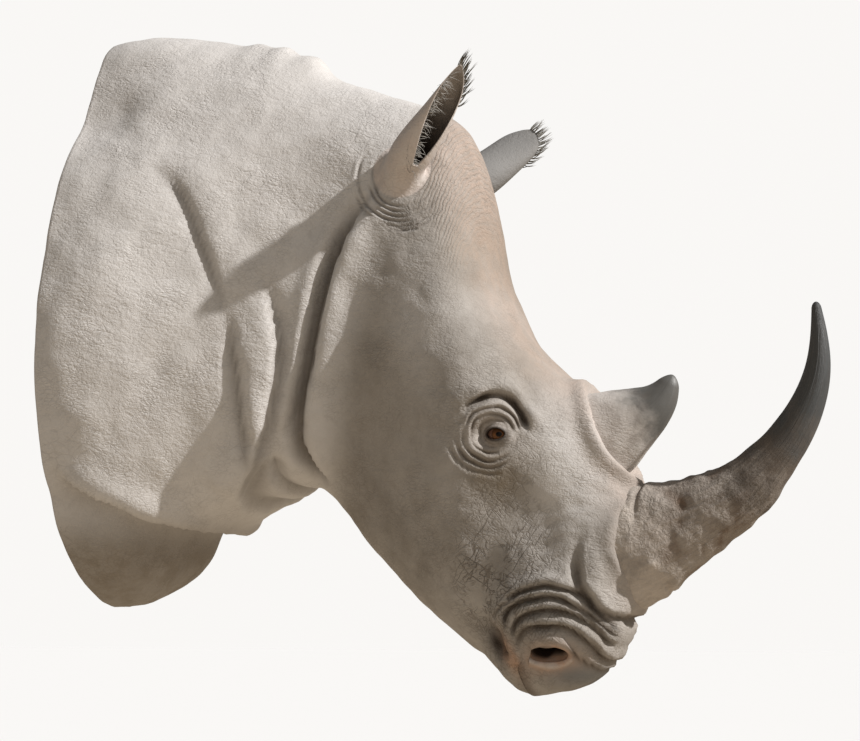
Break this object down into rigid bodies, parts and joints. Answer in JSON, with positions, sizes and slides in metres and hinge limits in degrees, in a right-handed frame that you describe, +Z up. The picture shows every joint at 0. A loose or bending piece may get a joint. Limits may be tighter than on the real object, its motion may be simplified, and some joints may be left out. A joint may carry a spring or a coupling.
{
  "type": "white rhinoceros shoulder mount",
  "caption": "Wall-hung shoulder mount of a white rhinoceros: flat-backed shoulders and neck, lowered head, long curved nose horn, short rear horn and raised ears.",
  "frame": {"origin": "middle of the backboard's flat back face, which lies against the wall", "axes": "+Y into the wall, -Y the way the animal faces, +X to the animal's left, +Z up"},
  "size_m": [0.6816, 1.3895, 1.2701],
  "materials": {
    "hide": "dry wrinkled hairless hide, warm grey-beige, matt",
    "horn": "fibrous keratin, rough and brown-grey at the base, smoother and blue-grey at the tip",
    "eye": "polished amber-brown glass eye with a dark pupil",
    "plywood": "plain sanded plywood",
    "steel": "countersunk screw heads"
  },
  "bodies": {
    "root": {"shoulders": "hide", "neck": "hide", "head": "hide", "ear_left": "hide", "ear_right": "hide", "eye_left": "eye", "eye_right": "eye", "horn_front": "horn", "horn_rear": "horn", "backboard": "plywood", "board_screw_1": "steel", "board_screw_2": "steel", "board_screw_3": "steel", "board_screw_4": "steel", "board_screw_5": "steel", "board_screw_6": "steel"}
  },
  "joints": []
}
